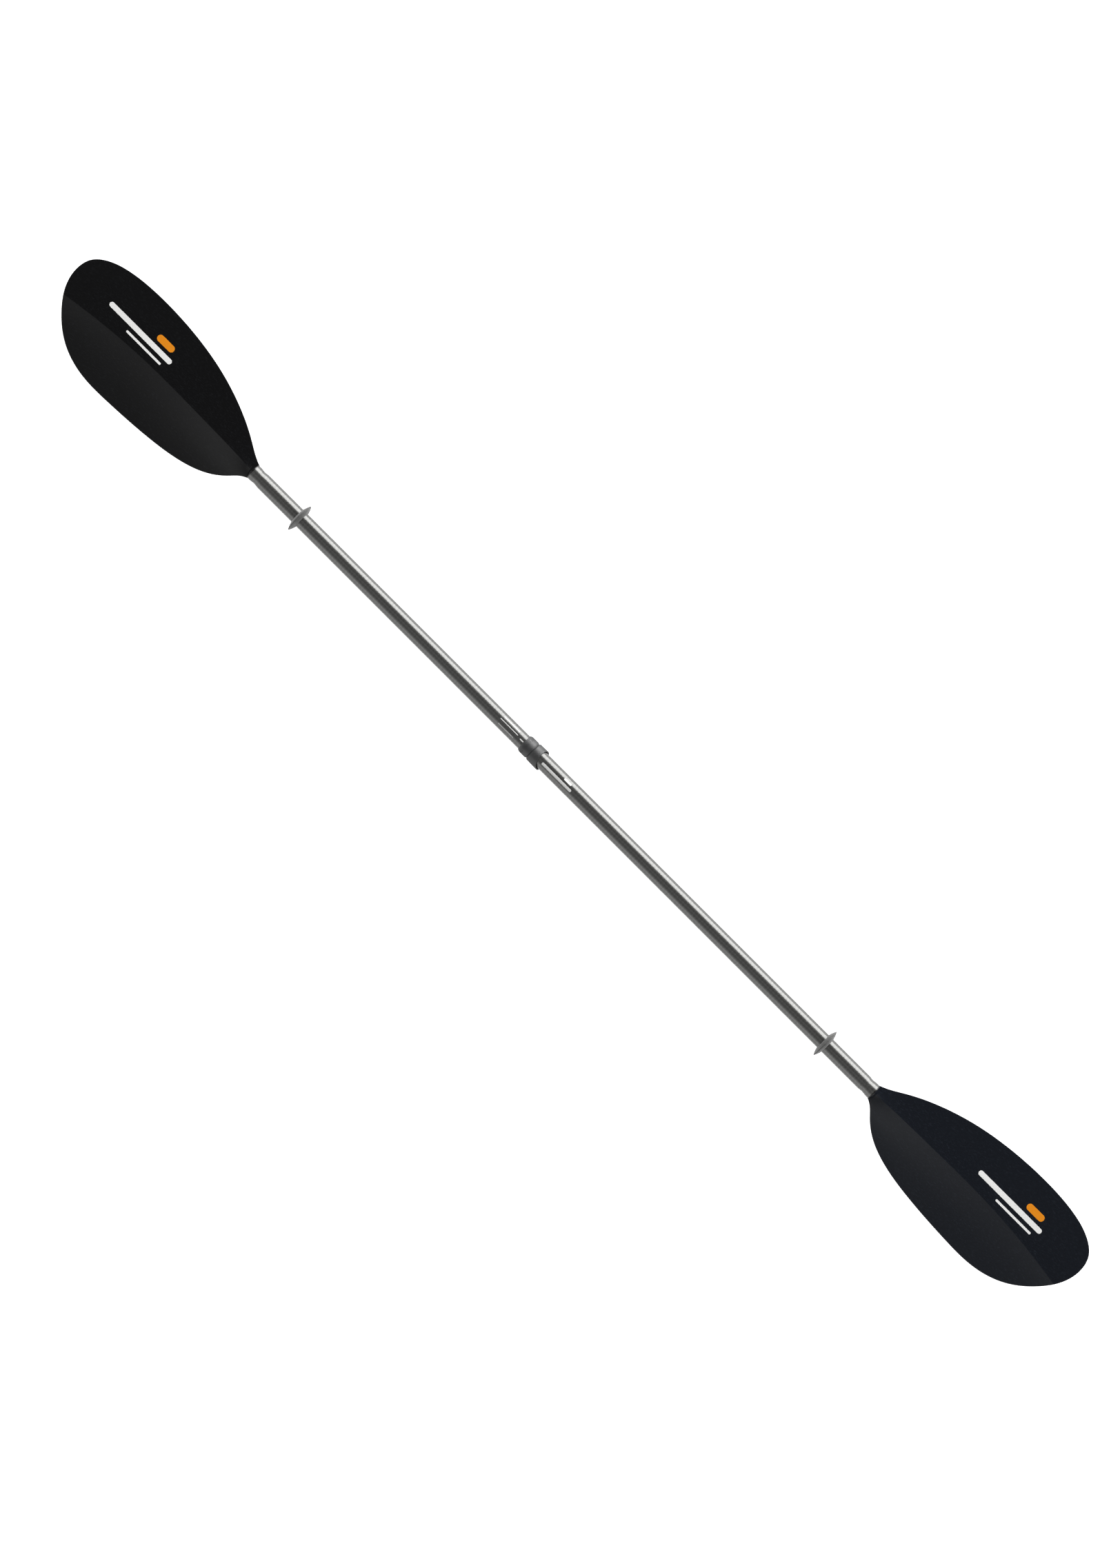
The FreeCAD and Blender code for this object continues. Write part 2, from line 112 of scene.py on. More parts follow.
def filled_nylon(name, ground, fleck):
    """The moulded skin: black, with slightly paler flecks and patches of more or less gloss."""
    nylon, tree = new_finish(name)
    place = add_node(tree, "ShaderNodeTexCoord", {}, {})
    drawn = add_node(tree, "ShaderNodeMapping", {}, {
        "Vector": place.outputs["Object"], "Scale": (melt_stretch, 1.0, 1.0)})
    flecks = add_node(tree, "ShaderNodeTexNoise", {}, {
        "Vector": drawn.outputs[0], "Scale": mm_per_m / blade_fleck_mm, "Detail": 3.0, "Roughness": 0.65})
    fleck_share = add_node(tree, "ShaderNodeMapRange", {"interpolation_type": "SMOOTHSTEP"}, {
        "Value": flecks.outputs["Fac"], "From Min": fleck_starts, "From Max": fleck_full,
        "To Min": 0.0, "To Max": 1.0})
    colour = add_node(tree, "ShaderNodeMix", {"data_type": "RGBA"}, {
        mix_share: fleck_share.outputs[0], colour_a: linear(ground), colour_b: linear(fleck)})
    clouds = add_node(tree, "ShaderNodeTexNoise", {}, {
        "Vector": drawn.outputs[0], "Scale": mm_per_m / blade_cloud_mm, "Detail": 2.0})
    gloss = add_node(tree, "ShaderNodeMapRange", {}, {
        "Value": clouds.outputs["Fac"], "From Min": noise_low, "From Max": noise_high,
        "To Min": blade_roughness[0], "To Max": blade_roughness[1]})
    grain = add_node(tree, "ShaderNodeTexNoise", {}, {
        "Vector": place.outputs["Object"], "Scale": mm_per_m / blade_grain_mm, "Detail": 2.0})
    relief = add_node(tree, "ShaderNodeBump", {}, {
        "Strength": 0.25, "Distance": blade_grain_depth, "Height": grain.outputs["Fac"]})
    skin = add_node(tree, "ShaderNodeBsdfPrincipled", {}, {
        "Base Color": colour.outputs[mixed_colour], "Roughness": gloss.outputs[0], "IOR": nylon_ior,
        "Specular IOR Level": 0.67, "Normal": relief.outputs[0]})
    add_node(tree, "ShaderNodeOutputMaterial", {}, {"Surface": skin.outputs[0]})
    return nylon


# the right blade is painted a little cooler and paler than the left, a painted reflection of cool,
# brighter light on that blade
put_on(["left_blade"], filled_nylon("carbon_filled_nylon_moulded", "#0e0e0f", "#1a1b1d"))
put_on(["right_blade"], filled_nylon("carbon_filled_nylon_painted_cool_light", "#15181e", "#21252c"))


# ---- shaft tubes ----
# Carbon tubes: a 2x2 twill sleeve laid at 45 degrees to the axis, under a glossy clear coat.
# The fibres shine like dull metal, and the crossings break up the edges of every reflection.

# a Mix node's plain numbers, as against its colours
number_a, number_b = 2, 3
tube_r = 0.0140
tows_round = 28
# in 2x2 twill each tow passes over two and under two
tows_in_repeat = 4.0
top_tows_end = 1.5
# the step along the axis that shifts each of the two crossing families by one tow
tow_step = 2 * math.pi * tube_r / tows_round
# a tow's filaments are too fine to show, so they are drawn as about twelve bundles
bundles_in_tow = 12.0
bundle_stretch = 0.8
tow_relief_depth = 0.00003
fibre_relief_depth = 0.00001
tow_roughness = (0.24, 0.32)

carbon_twill, tree = new_finish("carbon_twill_clear_coated")
place = add_node(tree, "ShaderNodeTexCoord", {}, {})
axes = add_node(tree, "ShaderNodeSeparateXYZ", {}, {0: place.outputs["Object"]})
turn = add_node(tree, "ShaderNodeMath", {"operation": "ARCTAN2"}, {
    0: axes.outputs["Y"], 1: axes.outputs["Z"]})
around = add_node(tree, "ShaderNodeMath", {"operation": "MULTIPLY"}, {
    0: turn.outputs[0], 1: tows_round / (2 * math.pi)})
along = add_node(tree, "ShaderNodeMath", {"operation": "DIVIDE"}, {0: axes.outputs["X"], 1: tow_step})
right_hand = add_node(tree, "ShaderNodeMath", {"operation": "ADD"}, {
    0: around.outputs[0], 1: along.outputs[0]})
left_hand = add_node(tree, "ShaderNodeMath", {"operation": "SUBTRACT"}, {
    0: around.outputs[0], 1: along.outputs[0]})
right_count = add_node(tree, "ShaderNodeMath", {"operation": "FLOOR"}, {0: right_hand.outputs[0]})
left_count = add_node(tree, "ShaderNodeMath", {"operation": "FLOOR"}, {0: left_hand.outputs[0]})
apart = add_node(tree, "ShaderNodeMath", {"operation": "SUBTRACT"}, {
    0: right_count.outputs[0], 1: left_count.outputs[0]})
in_repeat = add_node(tree, "ShaderNodeMath", {"operation": "FLOORED_MODULO"}, {
    0: apart.outputs[0], 1: tows_in_repeat})
right_on_top = add_node(tree, "ShaderNodeMath", {"operation": "LESS_THAN"}, {
    0: in_repeat.outputs[0], 1: top_tows_end})
across = add_node(tree, "ShaderNodeMix", {"data_type": "FLOAT"}, {
    mix_share: right_on_top.outputs[0], number_a: left_hand.outputs[0], number_b: right_hand.outputs[0]})
lengthwise = add_node(tree, "ShaderNodeMix", {"data_type": "FLOAT"}, {
    mix_share: right_on_top.outputs[0], number_a: right_hand.outputs[0], number_b: left_hand.outputs[0]})
# each tow is rounded over its width
in_tow = add_node(tree, "ShaderNodeMath", {"operation": "PINGPONG"}, {0: across.outputs[0], 1: 0.5})
tow_crown = add_node(tree, "ShaderNodeMapRange", {"interpolation_type": "SMOOTHERSTEP"}, {
    "Value": in_tow.outputs[0], "From Min": 0.0, "From Max": 0.4, "To Min": 0.0, "To Max": 1.0})
filament_place = add_node(tree, "ShaderNodeCombineXYZ", {}, {
    "X": across.outputs[0], "Y": lengthwise.outputs[0]})
filament_stretch = add_node(tree, "ShaderNodeMapping", {}, {
    "Vector": filament_place.outputs[0], "Scale": (bundles_in_tow, bundle_stretch, 1.0)})
filaments = add_node(tree, "ShaderNodeTexNoise", {}, {
    "Vector": filament_stretch.outputs[0], "Scale": 1.0, "Detail": 2.0})
tow_light = add_node(tree, "ShaderNodeMix", {"data_type": "RGBA"}, {
    mix_share: right_on_top.outputs[0], colour_a: linear("#676765"), colour_b: linear("#6e6e6c")})
filament_share = add_node(tree, "ShaderNodeMapRange", {}, {
    "Value": filaments.outputs["Fac"], "From Min": noise_low, "From Max": noise_high,
    "To Min": 0.0, "To Max": 0.5})
tow_colour = add_node(tree, "ShaderNodeMix", {"data_type": "RGBA", "blend_type": "MULTIPLY"}, {
    mix_share: filament_share.outputs[0], colour_a: tow_light.outputs[mixed_colour],
    colour_b: linear("#c4c4c4")})
tow_gloss = add_node(tree, "ShaderNodeMapRange", {}, {
    "Value": filaments.outputs["Fac"], "From Min": noise_low, "From Max": noise_high,
    "To Min": tow_roughness[0], "To Max": tow_roughness[1]})
tow_relief = add_node(tree, "ShaderNodeBump", {}, {
    "Strength": 0.3, "Distance": tow_relief_depth, "Height": tow_crown.outputs[0]})
fibre_relief = add_node(tree, "ShaderNodeBump", {}, {
    "Strength": 0.2, "Distance": fibre_relief_depth, "Height": filaments.outputs["Fac"],
    "Normal": tow_relief.outputs[0]})
twill = add_node(tree, "ShaderNodeBsdfPrincipled", {}, {
    "Base Color": tow_colour.outputs[mixed_colour], "Metallic": 0.7, "Roughness": tow_gloss.outputs[0],
    "Normal": fibre_relief.outputs[0], "Coat Weight": 1.0, "Coat Roughness": 0.08, "Coat IOR": 1.5})
add_node(tree, "ShaderNodeOutputMaterial", {}, {"Surface": twill.outputs[0]})

put_on(["left_shaft", "right_shaft"], carbon_twill)


# ---- ferrule mouldings ----
# Index hub and collar, bush, male ferrule and right collar, all injection-moulded black nylon.
# A spark-eroded mould gives them an even satin texture that hides handling marks.

spark_grain_mm = 0.3
spark_depth = 0.00002
satin_patch_mm = 6.0
satin_roughness = (0.48, 0.56)

satin_nylon, tree = new_finish("black_nylon_spark_textured")
place = add_node(tree, "ShaderNodeTexCoord", {}, {})
pits = add_node(tree, "ShaderNodeTexVoronoi", {"feature": "SMOOTH_F1"}, {
    "Vector": place.outputs["Object"], "Scale": mm_per_m / spark_grain_mm})
patches = add_node(tree, "ShaderNodeTexNoise", {}, {
    "Vector": place.outputs["Object"], "Scale": mm_per_m / satin_patch_mm, "Detail": 3.0})
satin_colour = add_node(tree, "ShaderNodeMix", {"data_type": "RGBA"}, {
    mix_share: patches.outputs["Fac"], colour_a: linear("#28292a"), colour_b: linear("#303131")})
satin_gloss = add_node(tree, "ShaderNodeMapRange", {}, {
    "Value": patches.outputs["Fac"], "From Min": noise_low, "From Max": noise_high,
    "To Min": satin_roughness[0], "To Max": satin_roughness[1]})
pit_relief = add_node(tree, "ShaderNodeBump", {}, {
    "Strength": 0.3, "Distance": spark_depth, "Height": pits.outputs["Distance"]})
satin = add_node(tree, "ShaderNodeBsdfPrincipled", {}, {
    "Base Color": satin_colour.outputs[mixed_colour], "Roughness": satin_gloss.outputs[0],
    "IOR": nylon_ior, "Specular IOR Level": 0.95, "Normal": pit_relief.outputs[0]})
add_node(tree, "ShaderNodeOutputMaterial", {}, {"Surface": satin.outputs[0]})

put_on(["index_hub", "index_collar", "collar_bush", "male_ferrule", "ferrule_collar"], satin_nylon)


# ---- steel parts of the ferrule ----
# Click ring, clip, thrust washer, leaf spring and snap button, stamped or turned stainless steel.
# Rolling and turning leave fine lines, which draw each highlight out across them.

rolling_line_mm = 0.25
line_stretch = 0.06
line_depth = 0.00001
steel_roughness = (0.2, 0.34)

stainless, tree = new_finish("stainless_steel_rolled")
place = add_node(tree, "ShaderNodeTexCoord", {}, {})
rolled = add_node(tree, "ShaderNodeMapping", {}, {
    "Vector": place.outputs["Object"], "Scale": (1.0, line_stretch, line_stretch)})
lines = add_node(tree, "ShaderNodeTexNoise", {}, {
    "Vector": rolled.outputs[0], "Scale": mm_per_m / rolling_line_mm, "Detail": 3.0})
steel_colour = add_node(tree, "ShaderNodeMix", {"data_type": "RGBA"}, {
    mix_share: lines.outputs["Fac"], colour_a: linear("#bdbab5"), colour_b: linear("#d2d0cb")})
steel_gloss = add_node(tree, "ShaderNodeMapRange", {}, {
    "Value": lines.outputs["Fac"], "From Min": noise_low, "From Max": noise_high,
    "To Min": steel_roughness[0], "To Max": steel_roughness[1]})
line_relief = add_node(tree, "ShaderNodeBump", {}, {
    "Strength": 0.2, "Distance": line_depth, "Height": lines.outputs["Fac"]})
steel = add_node(tree, "ShaderNodeBsdfPrincipled", {}, {
    "Base Color": steel_colour.outputs[mixed_colour], "Metallic": 1.0, "Roughness": steel_gloss.outputs[0],
    "Normal": line_relief.outputs[0]})
add_node(tree, "ShaderNodeOutputMaterial", {}, {"Surface": steel.outputs[0]})

put_on(["click_ring", "thrust_washer", "collar_clip", "button_spring", "snap_button"], stainless)


# ---- spigot seal ----
# A cord ring of black nitrile rubber, which keeps sand and water out of the joint.
# It is lightly greased, so it is darker and glossier than the drip rings.

grease_smear_mm = 2.5
seal_roughness = (0.22, 0.5)

nitrile, tree = new_finish("nitrile_rubber_greased")
place = add_node(tree, "ShaderNodeTexCoord", {}, {})
smears = add_node(tree, "ShaderNodeTexNoise", {}, {
    "Vector": place.outputs["Object"], "Scale": mm_per_m / grease_smear_mm, "Detail": 3.0})
seal_gloss = add_node(tree, "ShaderNodeMapRange", {}, {
    "Value": smears.outputs["Fac"], "From Min": 0.35, "From Max": 0.65,
    "To Min": seal_roughness[0], "To Max": seal_roughness[1]})
seal_colour = add_node(tree, "ShaderNodeMix", {"data_type": "RGBA"}, {
    mix_share: smears.outputs["Fac"], colour_a: linear("#121213"), colour_b: linear("#1c1c1d")})
seal_skin = add_node(tree, "ShaderNodeBsdfPrincipled", {}, {
    "Base Color": seal_colour.outputs[mixed_colour], "Roughness": seal_gloss.outputs[0], "IOR": 1.52})
add_node(tree, "ShaderNodeOutputMaterial", {}, {"Surface": seal_skin.outputs[0]})

put_on(["spigot_seal"], nitrile)


# ---- foam plugs ----
# Discs of closed-cell polyethylene foam, glued in the tubes so that either half floats.
# The cut cells leave a pale, dimpled face, and each cell's hollow is painted a little darker, as painted
# shade.

cell_mm = 0.9
cell_depth = 0.0002

cell_foam, tree = new_finish("polyethylene_foam_cut")
place = add_node(tree, "ShaderNodeTexCoord", {}, {})
cells = add_node(tree, "ShaderNodeTexVoronoi", {}, {
    "Vector": place.outputs["Object"], "Scale": mm_per_m / cell_mm})
# painted shade: the colour darkens towards each cell's middle, where the relief sinks deepest
foam_colour_with_hollow_shade = add_node(tree, "ShaderNodeMix", {"data_type": "RGBA"}, {
    mix_share: cells.outputs["Distance"], colour_a: linear("#dcd9d1"), colour_b: linear("#f0eee8")})
cell_relief = add_node(tree, "ShaderNodeBump", {}, {
    "Strength": 0.7, "Distance": cell_depth, "Height": cells.outputs["Distance"]})
foam_skin = add_node(tree, "ShaderNodeBsdfPrincipled", {}, {
    "Base Color": foam_colour_with_hollow_shade.outputs[mixed_colour], "Roughness": 0.85, "Normal": cell_relief.outputs[0]})
add_node(tree, "ShaderNodeOutputMaterial", {}, {"Surface": foam_skin.outputs[0]})

put_on(["left_foam_plug", "right_foam_plug"], cell_foam)


# ---- drip rings ----
# Soft moulded rubber discs that stop water running down the shaft to the hands.
# The rubber has a dry, faintly blotched skin, and a pale bloom where it is seen edge-on.

ring_grain_mm = 0.5
ring_grain_depth = 0.00003
ring_blotch_mm = 8.0
ring_roughness = (0.5, 0.62)

dry_rubber, tree = new_finish("soft_rubber_moulded")
place = add_node(tree, "ShaderNodeTexCoord", {}, {})
blotches = add_node(tree, "ShaderNodeTexNoise", {}, {
    "Vector": place.outputs["Object"], "Scale": mm_per_m / ring_blotch_mm, "Detail": 4.0})
ring_colour = add_node(tree, "ShaderNodeMix", {"data_type": "RGBA"}, {
    mix_share: blotches.outputs["Fac"], colour_a: linear("#353533"), colour_b: linear("#41413f")})
ring_grain = add_node(tree, "ShaderNodeTexNoise", {}, {
    "Vector": place.outputs["Object"], "Scale": mm_per_m / ring_grain_mm, "Detail": 2.0})
ring_relief = add_node(tree, "ShaderNodeBump", {}, {
    "Strength": 0.3, "Distance": ring_grain_depth, "Height": ring_grain.outputs["Fac"]})
ring_gloss = add_node(tree, "ShaderNodeMapRange", {}, {
    "Value": blotches.outputs["Fac"], "From Min": noise_low, "From Max": noise_high,
    "To Min": ring_roughness[0], "To Max": ring_roughness[1]})
ring_skin = add_node(tree, "ShaderNodeBsdfPrincipled", {}, {
    "Base Color": ring_colour.outputs[mixed_colour], "Roughness": ring_gloss.outputs[0], "IOR": 1.52,
    "Specular IOR Level": 0.7, "Sheen Weight": 0.5, "Sheen Roughness": 0.4,
    "Normal": ring_relief.outputs[0]})
add_node(tree, "ShaderNodeOutputMaterial", {}, {"Surface": ring_skin.outputs[0]})

put_on(["left_drip_ring", "right_drip_ring"], dry_rubber)


# ---- blade marks ----
# Plain stripes pad-printed on the power faces: a wide and a thin white one, and an orange bar.
# The ink lies on the nylon as a thin satin film.

film = 0.00006
film_lift = 0.00002
ink_mottle_mm = 1.2
# the noise values between which the ink thins
thin_starts, thinnest = 0.45, 0.75
# a stripe starts this far above the piece it is printed on, and is cut this fine on a blade
drop_height = 0.001
blade_cut = 0.006


def printing_ink(name, light, dark):
    """Printed ink, which lets a little of the ground through where it is thinnest."""
    ink, tree = new_finish(name)
    place = add_node(tree, "ShaderNodeTexCoord", {}, {})
    mottle = add_node(tree, "ShaderNodeTexNoise", {}, {
        "Vector": place.outputs["Object"], "Scale": mm_per_m / ink_mottle_mm, "Detail": 3.0})
    thin = add_node(tree, "ShaderNodeMapRange", {}, {
        "Value": mottle.outputs["Fac"], "From Min": thin_starts, "From Max": thinnest,
        "To Min": 0.0, "To Max": 1.0})
    colour = add_node(tree, "ShaderNodeMix", {"data_type": "RGBA"}, {
        mix_share: thin.outputs[0], colour_a: linear(light), colour_b: linear(dark)})
    skin = add_node(tree, "ShaderNodeBsdfPrincipled", {}, {
        "Base Color": colour.outputs[mixed_colour], "Roughness": 0.45, "IOR": 1.5})
    add_node(tree, "ShaderNodeOutputMaterial", {}, {"Surface": skin.outputs[0]})
    return ink


white_ink = printing_ink("pad_printed_ink_white", "#f2f2f0", "#dddddb")
orange_ink = printing_ink("pad_printed_ink_orange", "#e88e18", "#d97f12")


def printed_stripe(name, x, y, length, width, node, cut, ink, body):
    """A round-ended stripe, cut into squares, dropped on a CAD node and made as thick as its film."""
    bpy.ops.object.select_all(action="DESELECT")
    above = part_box(node)[1].z + drop_height
    bpy.ops.mesh.primitive_circle_add(
        vertices=32, radius=width / 2, fill_type="NGON", location=(x, y, above))
    stripe = bpy.context.object
    stripe.name = name
    bpy.ops.object.transform_apply(location=True, rotation=True, scale=True)
    bpy.ops.object.mode_set(mode="EDIT")
    for side in (-1, 1):
        shape = bmesh.from_edit_mesh(stripe.data)
        for v in shape.verts:
            v.select = (v.co.x - x) * side > 1e-6
        shape.select_flush_mode()
        bmesh.update_edit_mesh(stripe.data)
        bpy.ops.transform.translate(value=(side * (length - width) / 2, 0, 0))
    for axis, size in ((Vector((1, 0, 0)), length), (Vector((0, 1, 0)), width)):
        count = max(2, round(size / cut))
        for i in range(1, count):
            point = Vector((x, y, above)) + axis * (size * i / count - size / 2)
            bpy.ops.mesh.select_all(action="SELECT")
            bpy.ops.mesh.bisect(plane_co=point, plane_no=axis)
    bpy.ops.object.mode_set(mode="OBJECT")
    drop = stripe.modifiers.new("drop", "SHRINKWRAP")
    drop.target = nodes[node]
    drop.wrap_method = "PROJECT"
    drop.use_project_z = True
    drop.use_positive_direction = False
    drop.use_negative_direction = True
    drop.offset = film_lift
    bpy.ops.object.modifier_apply(modifier="drop")
    thicken = stripe.modifiers.new("thicken", "SOLIDIFY")
    thicken.thickness = film
    thicken.offset = 1.0
    bpy.ops.object.modifier_apply(modifier="thicken")
    stripe.data.materials.append(ink)
    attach(stripe, body)
    return stripe


# each mark's middle along the blade from the wide stripe's and across it, its length, width and ink
blade_marks = (
    ("wide_stripe", 0.0, 0.030, 0.140, 0.009, white_ink),
    ("thin_stripe", 0.020, 0.0165, 0.078, 0.004, white_ink),
    ("orange_bar", 0.041, 0.047, 0.036, 0.012, orange_ink),
)
wide_stripe_x = {"left": -1.0022, "right": 0.9930}
blade_pieces = []
for side, middle in wide_stripe_x.items():
    node = side + "_blade"
    blade_pieces.append(nodes[node])
    for mark, offset, y, length, width, ink in blade_marks:
        blade_pieces.append(printed_stripe(
            f"{node}_{mark}", middle + offset, y, length, width, node, blade_cut, ink,
            side + "_half"))


# ---- shaft marks ----
# White stripes in the same ink, printed on the clear coat either side of the joint.
# A short dash beside the index collar is the mark that the feather numbers are read against.

# each mark's middle along and across the shaft, its length and its width
left_marks = (
    ("left_shaft_upper_line", -0.1224, 0.0074, 0.036, 0.0012),
    ("left_shaft_middle_line", -0.1228, 0.0011, 0.040, 0.0012),
    ("left_shaft_lower_line", -0.1234, -0.0072, 0.034, 0.0009),
    ("feather_index_dash", -0.0930, -0.0006, 0.0080, 0.0018),
)
right_marks = (
    ("right_shaft_wide_stripe", -0.0108, -0.0030, 0.066, 0.0046),
    ("right_shaft_short_bar", 0.0080, 0.0048, 0.016, 0.0036),
)
for side, marks, shaft_cut in (("left", left_marks, 0.0009), ("right", right_marks, 0.0012)):
    for name, x, y, length, width in marks:
        printed_stripe(
            name, x, y, length, width, side + "_shaft", shaft_cut, white_ink,
            side + "_half")


# ---- feather numbers ----
# Degrees of feather, raised on the index collar and moulded with it, one at each stop.
# They are the collar's own black, and are read against the white dash on the tube.

feather_step = 15
feather_stops = 4
number_height = 0.0030
# a figure's height over the type size
figure_share = 0.69
number_relief = 0.00022
number_lift = 0.0004
number_inset = 0.0123
number_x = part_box("index_collar")[1].x - number_inset
collar_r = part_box("index_collar")[1].y
# each number is cut into strips that can bend round the collar
cuts_each_way = 4

for step in range(-feather_stops, feather_stops + 1):
    angle = math.radians(feather_step * step)
    round_collar = Matrix.Rotation(angle, 4, "X")
    degrees = abs(feather_step * step)
    bpy.ops.object.select_all(action="DESELECT")
    bpy.ops.object.text_add(location=(0, 0, 0))
    number = bpy.context.object
    number.name = f"feather_number_{'minus' if step < 0 else 'plus'}_{degrees}"
    number.data.body = str(degrees)
    number.data.size = number_height / figure_share
    number.data.align_x = "CENTER"
    number.data.align_y = "CENTER"
    number.data.resolution_u = 3
    bpy.ops.object.convert(target="MESH")
    number = bpy.context.object
    number.data.transform(round_collar @ Matrix.Translation((number_x, 0, collar_r + number_lift)))
    bpy.ops.object.mode_set(mode="EDIT")
    for i in range(-cuts_each_way, cuts_each_way + 1):
        bpy.ops.mesh.select_all(action="SELECT")
        level = round_collar @ Vector((number_x, i * number_height / (2 * cuts_each_way), collar_r))
        bpy.ops.mesh.bisect(
            plane_co=level, plane_no=Matrix.Rotation(angle, 3, "X") @ Vector((0, 1, 0)))
    bpy.ops.mesh.select_all(action="SELECT")
    bpy.ops.mesh.remove_doubles(threshold=0.000005)
    bpy.ops.object.mode_set(mode="OBJECT")
    wrap = number.modifiers.new("wrap", "SHRINKWRAP")
    wrap.target = nodes["index_collar"]
    wrap.wrap_method = "NEAREST_SURFACEPOINT"
    wrap.wrap_mode = "ABOVE_SURFACE"
    wrap.offset = 0.00001
    bpy.ops.object.modifier_apply(modifier="wrap")
    raise_up = number.modifiers.new("raise", "SOLIDIFY")
    raise_up.thickness = number_relief
    raise_up.offset = 1.0
    bpy.ops.object.modifier_apply(modifier="raise")
    number.data.materials.append(satin_nylon)
    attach(number, "index_collar_set")


# ---- bond beads ----
# The epoxy that squeezes out where each blade's neck meets its tube, wiped to a thin round bead.
# It cures glossy and almost black.

epoxy_run_mm = 4.0
epoxy_run_depth = 0.0002
bead_r = 0.00045
# a wiped bead is wider than it is high
bead_flatness = 1.8

epoxy, tree = new_finish("epoxy_adhesive_cured")
place = add_node(tree, "ShaderNodeTexCoord", {}, {})
runs = add_node(tree, "ShaderNodeTexNoise", {}, {
    "Vector": place.outputs["Object"], "Scale": mm_per_m / epoxy_run_mm, "Detail": 2.0})
epoxy_colour = add_node(tree, "ShaderNodeMix", {"data_type": "RGBA"}, {
    mix_share: runs.outputs["Fac"], colour_a: linear("#0f0f10"), colour_b: linear("#1b1a19")})
run_relief = add_node(tree, "ShaderNodeBump", {}, {
    "Strength": 0.4, "Distance": epoxy_run_depth, "Height": runs.outputs["Fac"]})
epoxy_skin = add_node(tree, "ShaderNodeBsdfPrincipled", {}, {
    "Base Color": epoxy_colour.outputs[mixed_colour], "Roughness": 0.16, "IOR": 1.55,
    "Normal": run_relief.outputs[0]})
add_node(tree, "ShaderNodeOutputMaterial", {}, {"Surface": epoxy_skin.outputs[0]})

tube_lip = (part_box("right_shaft")[1].x, 0, tube_r)
bpy.ops.object.select_all(action="DESELECT")
bpy.ops.mesh.primitive_circle_add(
    vertices=12, radius=bead_r, location=tube_lip, rotation=(math.pi / 2, 0, 0))
bead = bpy.context.object
bead.name = "right_bond_bead"
bpy.ops.object.transform_apply(location=True, rotation=True, scale=True)
bpy.ops.object.mode_set(mode="EDIT")
bpy.ops.mesh.select_all(action="SELECT")
bpy.ops.transform.resize(value=(bead_flatness, 1.0, 1.0), center_override=tube_lip)
bpy.ops.mesh.spin(steps=72, angle=2 * math.pi, center=(0, 0, 0), axis=(1, 0, 0))
bpy.ops.mesh.select_all(action="SELECT")
bpy.ops.mesh.remove_doubles(threshold=0.00001)
bpy.ops.mesh.normals_make_consistent(inside=False)
bpy.ops.object.mode_set(mode="OBJECT")
bpy.ops.object.shade_smooth()
bead.data.materials.append(epoxy)
left_bead = bead.copy()
left_bead.data = bead.data.copy()
left_bead.name = "left_bond_bead"
bpy.context.collection.objects.link(left_bead)
left_bead.data.transform(Matrix.Rotation(math.pi, 4, "Z"))
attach(bead, "right_half")
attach(left_bead, "left_half")


# ---- floor ----
# A plain white sweep below the paddle, low enough for a blade to clear it at full feather.
# It is drawn pure white where nothing shades it, to the eye and in reflections, and keeps the
# paddle's soft shadow.

# the light that the card gives off by itself, to the eye and in a mirror
glow_seen = 0.8
glow_mirrored = 0.34
floor_size = 400
floor_gap = 0.003

white_card, tree = new_finish("matt_white_card")
seen = add_node(tree, "ShaderNodeLightPath", {}, {})
mirrored = add_node(tree, "ShaderNodeMath", {"operation": "MAXIMUM"}, {
    0: seen.outputs["Is Glossy Ray"], 1: seen.outputs["Is Transmission Ray"]})
added_mirrored = add_node(tree, "ShaderNodeMath", {"operation": "MULTIPLY"}, {
    0: mirrored.outputs[0], 1: glow_mirrored})
added_seen = add_node(tree, "ShaderNodeMath", {"operation": "MULTIPLY"}, {
    0: seen.outputs["Is Camera Ray"], 1: glow_seen})
added = add_node(tree, "ShaderNodeMath", {"operation": "MAXIMUM"}, {
    0: added_mirrored.outputs[0], 1: added_seen.outputs[0]})
card = add_node(tree, "ShaderNodeBsdfDiffuse", {}, {"Color": linear("#d8d8d8")})
glow = add_node(tree, "ShaderNodeEmission", {}, {
    "Color": linear("#ffffff"), "Strength": added.outputs[0]})
both = add_node(tree, "ShaderNodeAddShader", {}, {0: card.outputs[0], 1: glow.outputs[0]})
add_node(tree, "ShaderNodeOutputMaterial", {}, {"Surface": both.outputs[0]})

full_feather = math.radians(feather_step * feather_stops)
blade_reach = cad_box[1].y * math.sin(full_feather) - cad_box[0].z * math.cos(full_feather)
bpy.ops.object.select_all(action="DESELECT")
bpy.ops.mesh.primitive_plane_add(size=floor_size, location=(0, 0, -blade_reach - floor_gap))
floor = bpy.context.object
floor.name = "floor"
floor.data.materials.append(white_card)


# ---- studio light ----
# One long soft panel stands beyond the paddle, from its level up, and lights it from the long side.
# The room is white at floor level and dark overhead, so round parts show a dark band.
# The flat blades get the panel's light without its image, which would turn them white from low down.

panel_size = (7.3, 2.25)
panel_y = 2.2
panel_radiance = 4.7
room_strength = 1.1
# degrees from overhead towards the long side, and the share of the room's brightness there
room_stops = (
    (-100, 1.1), (-75, 1.1), (-50, 0.36), (-32, 0.14), (-20, 0.24), (-9, 0.32), (-4, 0.05),
    (5, 0.035), (38, 0.03), (60, 0.3), (95, 0.6),
)


def light_only(lamp, name, pieces):
    """Makes a lamp light these pieces only."""
    lit = bpy.data.collections.new(name)
    for piece in pieces:
        lit.objects.link(piece)
    lamp.light_linking.receiver_collection = lit


